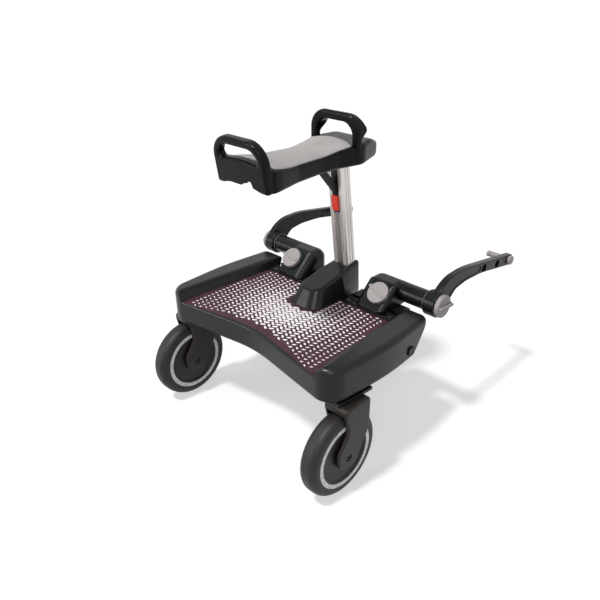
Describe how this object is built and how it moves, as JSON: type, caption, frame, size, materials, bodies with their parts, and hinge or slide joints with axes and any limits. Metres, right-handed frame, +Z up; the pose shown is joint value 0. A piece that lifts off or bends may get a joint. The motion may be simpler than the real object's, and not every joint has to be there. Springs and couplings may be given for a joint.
{
  "type": "ride-on stroller board",
  "caption": "Ride-on stroller board: moulded deck on swivel casters, sliding clamps with pivoting hitch arms, and a padded saddle with grip handles on a slotted post.",
  "frame": {"origin": "on the ground, below the middle of the deck's front edge", "axes": "+X to the right of a rider facing forward, +Y forward to the stroller, +Z up"},
  "size_m": [0.431, 0.5467, 0.534],
  "materials": {
    "deck_plastic": "satin black, moulded",
    "mat_rubber": "matt dark burgundy with raised light pads",
    "rail_plastic": "satin black",
    "steel": "zinc plated",
    "spring_steel": "bright wire",
    "bearing_plastic": "smooth black",
    "post_aluminium": "silver anodised extrusion",
    "fork_plastic": "satin charcoal",
    "tyre_rubber": "matt charcoal",
    "reflective_film": "light grey reflective film",
    "hub_plastic": "satin charcoal",
    "arm_plastic": "satin black",
    "brake_rubber": "matt",
    "grey_plastic": "satin mid grey",
    "bracket_plastic": "satin black",
    "red_plastic": "glossy red",
    "saddle_plastic": "satin black",
    "pad_foam": "matt warm grey foam"
  },
  "bodies": {
    "board": {"deck_shell": "deck_plastic", "deck_mat": "mat_rubber", "rail_right": "rail_plastic", "rail_left": "rail_plastic", "rail_screws": "steel", "side_pegs": "bearing_plastic", "swivel_plate_right": "bearing_plastic", "swivel_plate_left": "bearing_plastic", "swivel_bushes": "bearing_plastic", "post_socket": "deck_plastic", "socket_screws": "steel", "seat_post": "post_aluminium", "post_screw": "steel"},
    "right_caster": {"fork_right": "fork_plastic", "stem_right": "steel", "stem_clip_right": "steel", "axle_right": "steel"},
    "right_wheel": {"tyre_right": "tyre_rubber", "reflector_right": "reflective_film", "wheel_hub_right": "hub_plastic", "wheel_bush_right": "bearing_plastic"},
    "right_clamp": {"clamp_block_right": "arm_plastic", "clamp_shoe_right": "brake_rubber", "friction_washer_right": "bearing_plastic"},
    "right_clamp_screw": {"clamp_knob_right": "grey_plastic", "clamp_stud_right": "steel"},
    "right_hitch_arm": {"arm_right": "arm_plastic", "connector_pin_right": "grey_plastic"},
    "right_pivot_screw": {"pivot_knob_right": "grey_plastic", "pivot_bolt_right": "steel"},
    "left_caster": {"fork_left": "fork_plastic", "stem_left": "steel", "stem_clip_left": "steel", "axle_left": "steel"},
    "left_wheel": {"tyre_left": "tyre_rubber", "reflector_left": "reflective_film", "wheel_hub_left": "hub_plastic", "wheel_bush_left": "bearing_plastic"},
    "left_clamp": {"clamp_block_left": "arm_plastic", "clamp_shoe_left": "brake_rubber", "friction_washer_left": "bearing_plastic"},
    "left_clamp_screw": {"clamp_knob_left": "grey_plastic", "clamp_stud_left": "steel"},
    "left_hitch_arm": {"arm_left": "arm_plastic", "connector_pin_left": "grey_plastic"},
    "left_pivot_screw": {"pivot_knob_left": "grey_plastic", "pivot_bolt_left": "steel"},
    "saddle": {"seat_bracket": "bracket_plastic", "brake_shoe": "brake_rubber", "button_spring": "spring_steel", "seat_shell": "saddle_plastic", "seat_pad": "pad_foam", "rear_handle": "saddle_plastic", "front_handle": "saddle_plastic", "seat_screws": "steel"},
    "button": {"height_button": "red_plastic"}
  },
  "joints": [
    {"name": "right_swivel", "type": "hinge", "parent": "board", "child": "right_caster", "pos_m": [0.192, -0.187, 0.165], "axis": [0, 0, 1], "continuous": true},
    {"name": "right_wheel_spin", "type": "hinge", "parent": "right_caster", "child": "right_wheel", "pos_m": [0.192, -0.214, 0.0735], "axis": [1, 0, 0], "continuous": true},
    {"name": "right_clamp_slide", "type": "slide", "parent": "board", "child": "right_clamp", "axis": [1, 0, 0], "range_m": [-0.02, 0.014]},
    {"name": "right_clamp_turn", "type": "hinge", "parent": "right_clamp", "child": "right_clamp_screw", "pos_m": [0.105, -0.0162, 0.24196], "axis": [0, -0.6947, 0.7193], "range_deg": [0, 120]},
    {"name": "right_arm_pivot", "type": "hinge", "parent": "right_clamp", "child": "right_hitch_arm", "pos_m": [0.19, 0.022, 0.2415], "axis": [1, 0, 0], "range_deg": [-45, 75]},
    {"name": "right_pivot_turn", "type": "hinge", "parent": "right_clamp", "child": "right_pivot_screw", "pos_m": [0.203, 0.022, 0.2415], "axis": [1, 0, 0], "range_deg": [0, 120]},
    {"name": "left_swivel", "type": "hinge", "parent": "board", "child": "left_caster", "pos_m": [-0.192, -0.187, 0.165], "axis": [0, 0, 1], "continuous": true},
    {"name": "left_wheel_spin", "type": "hinge", "parent": "left_caster", "child": "left_wheel", "pos_m": [-0.192, -0.214, 0.0735], "axis": [1, 0, 0], "continuous": true},
    {"name": "left_clamp_slide", "type": "slide", "parent": "board", "child": "left_clamp", "axis": [-1, 0, 0], "range_m": [-0.02, 0.014]},
    {"name": "left_clamp_turn", "type": "hinge", "parent": "left_clamp", "child": "left_clamp_screw", "pos_m": [-0.105, -0.0162, 0.24196], "axis": [0, -0.6947, 0.7193], "range_deg": [0, 120]},
    {"name": "left_arm_pivot", "type": "hinge", "parent": "left_clamp", "child": "left_hitch_arm", "pos_m": [-0.19, 0.022, 0.2415], "axis": [1, 0, 0], "range_deg": [-45, 75]},
    {"name": "left_pivot_turn", "type": "hinge", "parent": "left_clamp", "child": "left_pivot_screw", "pos_m": [-0.203, 0.022, 0.2415], "axis": [-1, 0, 0], "range_deg": [0, 120]},
    {"name": "saddle_height", "type": "slide", "parent": "board", "child": "saddle", "axis": [0, -0.1219, 0.9925], "range_m": [0, 0.06]},
    {"name": "button_press", "type": "slide", "parent": "saddle", "child": "button", "axis": [0, 0.9925, 0.1219], "range_m": [0, 0.003], "stiffness_N_per_m": 600, "springref_m": -0.002, "deforming": ["button_spring"]}
  ]
}
